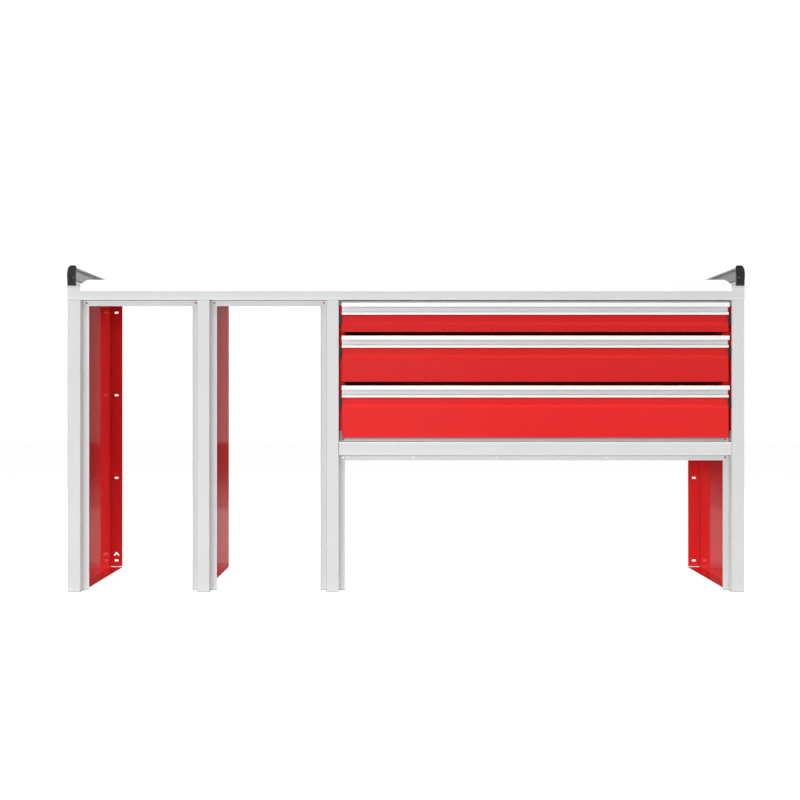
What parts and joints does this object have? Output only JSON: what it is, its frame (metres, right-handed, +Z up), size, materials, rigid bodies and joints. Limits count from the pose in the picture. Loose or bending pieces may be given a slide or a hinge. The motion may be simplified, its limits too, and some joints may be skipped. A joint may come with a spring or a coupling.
{
  "type": "workbench with drawers",
  "caption": "Modular steel workbench: open storage bays beside a wide bay of sliding drawers, with a lipped worktop between two side rails.",
  "frame": {"origin": "on the floor, at the centre of the bench's box", "axes": "+X along the bench to the drawer side, +Y to the back, +Z up"},
  "size_m": [2.032, 0.619, 0.9795],
  "materials": {
    "light_grey_paint": "light grey powder coat, satin",
    "red_paint": "signal red powder coat, glossy",
    "white_laminate": "white laminate on board, matt",
    "anodised_aluminium": "natural anodised extrusion with drawing lines",
    "black_plastic": "black moulded plastic, fine grain",
    "zinc_steel": "bright zinc plate"
  },
  "bodies": {
    "root": {"post_left": "light_grey_paint", "post_mid_1": "light_grey_paint", "post_mid_2": "light_grey_paint", "post_right": "light_grey_paint", "top_front_beam": "light_grey_paint", "top_rear_beam": "light_grey_paint", "lower_front_beam": "light_grey_paint", "lower_rear_beam": "light_grey_paint", "rail_support_left": "light_grey_paint", "rail_support_right": "light_grey_paint", "side_panel_left": "red_paint", "divider_panel_1": "red_paint", "divider_panel_2": "red_paint", "side_panel_right": "red_paint", "drawer_bay_back_panel": "red_paint", "drawer_bay_floor": "red_paint", "drawer_bay_liner_left": "red_paint", "drawer_bay_liner_right": "red_paint", "worktop_board": "white_laminate", "worktop_front_lip": "white_laminate", "side_rail_left": "anodised_aluminium", "side_rail_right": "anodised_aluminium", "rail_cap_front_left": "black_plastic", "rail_cap_front_right": "black_plastic", "rail_cap_rear_left": "black_plastic", "rail_cap_rear_right": "black_plastic", "drawer_1_slide_outer_left": "zinc_steel", "drawer_1_slide_outer_right": "zinc_steel", "drawer_2_slide_outer_left": "zinc_steel", "drawer_2_slide_outer_right": "zinc_steel", "drawer_3_slide_outer_left": "zinc_steel", "drawer_3_slide_outer_right": "zinc_steel"},
    "drawer_1": {"drawer_1_front": "red_paint", "drawer_1_box": "red_paint", "drawer_1_handle": "anodised_aluminium", "drawer_1_side_stop_left": "black_plastic", "drawer_1_side_stop_right": "black_plastic", "drawer_1_slide_inner_left": "zinc_steel", "drawer_1_slide_inner_right": "zinc_steel"},
    "drawer_1_runners": {"drawer_1_slide_middle_left": "zinc_steel", "drawer_1_slide_middle_right": "zinc_steel"},
    "drawer_2": {"drawer_2_front": "red_paint", "drawer_2_box": "red_paint", "drawer_2_handle": "anodised_aluminium", "drawer_2_side_stop_left": "black_plastic", "drawer_2_side_stop_right": "black_plastic", "drawer_2_slide_inner_left": "zinc_steel", "drawer_2_slide_inner_right": "zinc_steel"},
    "drawer_2_runners": {"drawer_2_slide_middle_left": "zinc_steel", "drawer_2_slide_middle_right": "zinc_steel"},
    "drawer_3": {"drawer_3_front": "red_paint", "drawer_3_box": "red_paint", "drawer_3_handle": "anodised_aluminium", "drawer_3_side_stop_left": "black_plastic", "drawer_3_side_stop_right": "black_plastic", "drawer_3_slide_inner_left": "zinc_steel", "drawer_3_slide_inner_right": "zinc_steel"},
    "drawer_3_runners": {"drawer_3_slide_middle_left": "zinc_steel", "drawer_3_slide_middle_right": "zinc_steel"}
  },
  "joints": [
    {"name": "drawer_1_slide", "type": "slide", "parent": "root", "child": "drawer_1", "axis": [0, -1, 0], "range_m": [0, 0.5]},
    {"name": "drawer_1_runner_slide", "type": "slide", "parent": "root", "child": "drawer_1_runners", "axis": [0, -1, 0], "range_m": [0, 0.25]},
    {"name": "drawer_2_slide", "type": "slide", "parent": "root", "child": "drawer_2", "axis": [0, -1, 0], "range_m": [0, 0.5]},
    {"name": "drawer_2_runner_slide", "type": "slide", "parent": "root", "child": "drawer_2_runners", "axis": [0, -1, 0], "range_m": [0, 0.25]},
    {"name": "drawer_3_slide", "type": "slide", "parent": "root", "child": "drawer_3", "axis": [0, -1, 0], "range_m": [0, 0.5]},
    {"name": "drawer_3_runner_slide", "type": "slide", "parent": "root", "child": "drawer_3_runners", "axis": [0, -1, 0], "range_m": [0, 0.25]}
  ],
  "couplings": [
    {"joint": "drawer_1_runner_slide", "follows": "drawer_1_slide", "ratio": 0.5},
    {"joint": "drawer_2_runner_slide", "follows": "drawer_2_slide", "ratio": 0.5},
    {"joint": "drawer_3_runner_slide", "follows": "drawer_3_slide", "ratio": 0.5}
  ]
}
